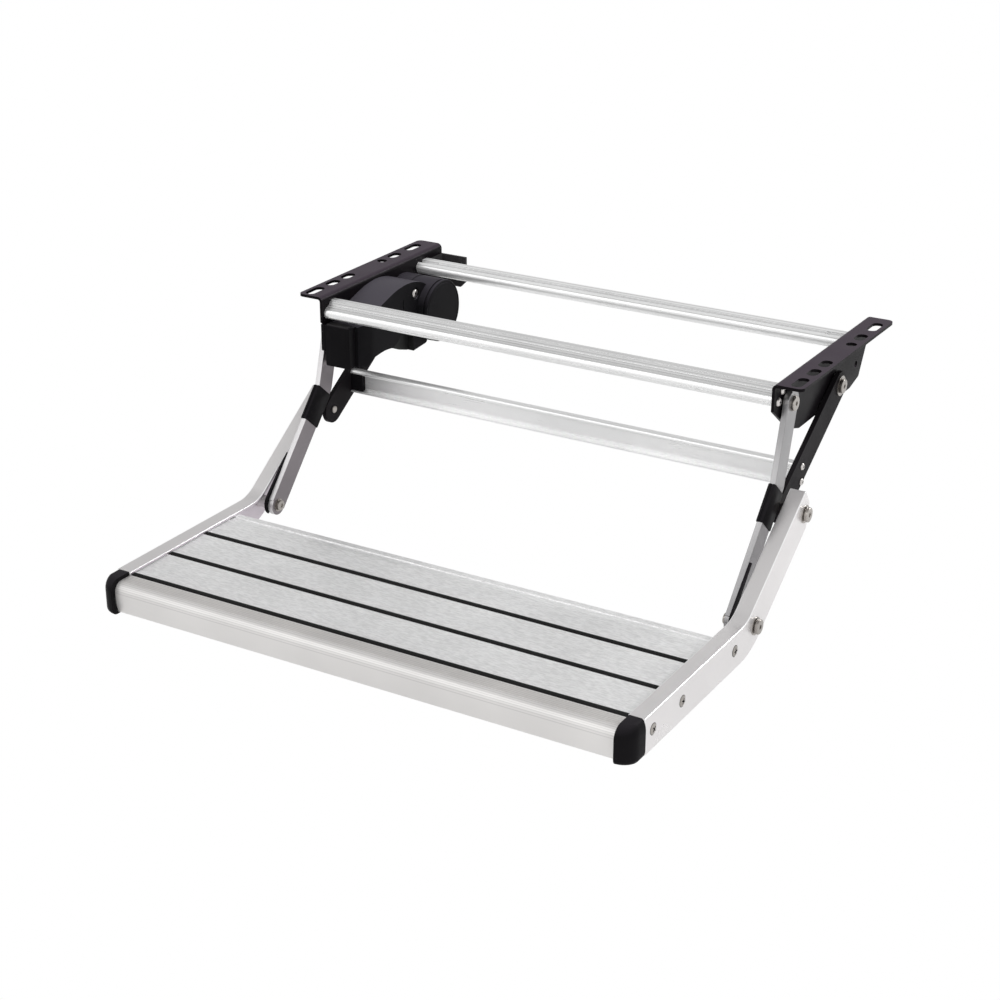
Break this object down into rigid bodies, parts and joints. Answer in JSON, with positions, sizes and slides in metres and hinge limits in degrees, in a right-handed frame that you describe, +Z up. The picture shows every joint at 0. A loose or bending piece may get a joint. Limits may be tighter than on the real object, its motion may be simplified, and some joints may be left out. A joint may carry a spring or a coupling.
{
  "type": "caravan entry step",
  "caption": "Folding entry step: a ribbed tread on cranked side arms, hung from two chassis brackets by flat arms, with a gear drive.",
  "frame": {"origin": "midway between the two round locating holes, on the face of the brackets that bolts to the chassis", "axes": "+X to the right seen by a person who faces the vehicle, +Y in under the floor, +Z up"},
  "size_m": [0.5944, 0.5798, 0.2355],
  "materials": {
    "anodised": "satin anodised",
    "silver_arms": "satin",
    "black_paint": "satin powder coat",
    "black_plastic": "matte",
    "grip_rubber": "matte",
    "steel_hardware": "zinc plated"
  },
  "bodies": {
    "brackets": {"left_bracket": "black_paint", "right_bracket": "black_paint", "front_crossbar": "anodised", "rear_crossbar": "anodised", "crossbar_screws": "steel_hardware", "front_pivot_bolts": "steel_hardware", "front_pivot_washers": "steel_hardware", "rear_pivot_bolt": "steel_hardware", "rear_pivot_washer": "steel_hardware", "gear_housing": "black_plastic", "connector_box": "black_plastic", "gear_cover": "black_plastic", "housing_screws": "steel_hardware", "rear_support": "black_paint"},
    "rear_arms": {"left_rear_arm": "black_paint", "right_rear_arm": "black_paint", "lower_crossbar": "anodised", "lower_crossbar_screws": "steel_hardware", "drive_shaft": "steel_hardware"},
    "tread": {"left_side_arm": "anodised", "right_side_arm": "anodised", "nose_profile": "anodised", "front_plank": "anodised", "middle_plank": "anodised", "rear_plank": "anodised", "front_strip": "grip_rubber", "middle_strip": "grip_rubber", "rear_strip": "grip_rubber", "left_end_cap": "black_plastic", "right_end_cap": "black_plastic", "side_screws": "steel_hardware", "link_pivot_bolts": "steel_hardware", "link_pivot_spacers": "steel_hardware", "link_pivot_washers": "steel_hardware", "foot_pivot_bolts": "steel_hardware", "foot_pivot_spacers": "steel_hardware", "foot_pivot_washers": "steel_hardware"},
    "left_front_arm": {"left_front_arm": "silver_arms", "left_sleeve": "black_plastic", "left_foot_bush": "steel_hardware"},
    "right_front_arm": {"right_front_arm": "silver_arms", "right_sleeve": "black_plastic", "right_foot_bush": "steel_hardware"}
  },
  "joints": [
    {"name": "fold", "type": "hinge", "parent": "brackets", "child": "rear_arms", "pos_m": [0, 0.0085, -0.0485], "axis": [1, 0, 0], "range_deg": [0, 135.36]},
    {"name": "tread_hinge", "type": "hinge", "parent": "rear_arms", "child": "tread", "pos_m": [0, -0.1245, -0.1345], "axis": [1, 0, 0], "range_deg": [-135.4, 0]},
    {"name": "left_front_hinge", "type": "hinge", "parent": "brackets", "child": "left_front_arm", "pos_m": [-0.2671, -0.1165, -0.0265], "axis": [1, 0, 0], "range_deg": [0, 85.6]},
    {"name": "right_front_hinge", "type": "hinge", "parent": "brackets", "child": "right_front_arm", "pos_m": [0.2671, -0.1165, -0.0265], "axis": [1, 0, 0], "range_deg": [0, 85.6]}
  ],
  "couplings": [
    {"joint": "tread_hinge", "follows": "fold", "ratio": -1},
    {"joint": "left_front_hinge", "follows": "fold", "ratio": 0.63214},
    {"joint": "right_front_hinge", "follows": "fold", "ratio": 0.63214}
  ]
}
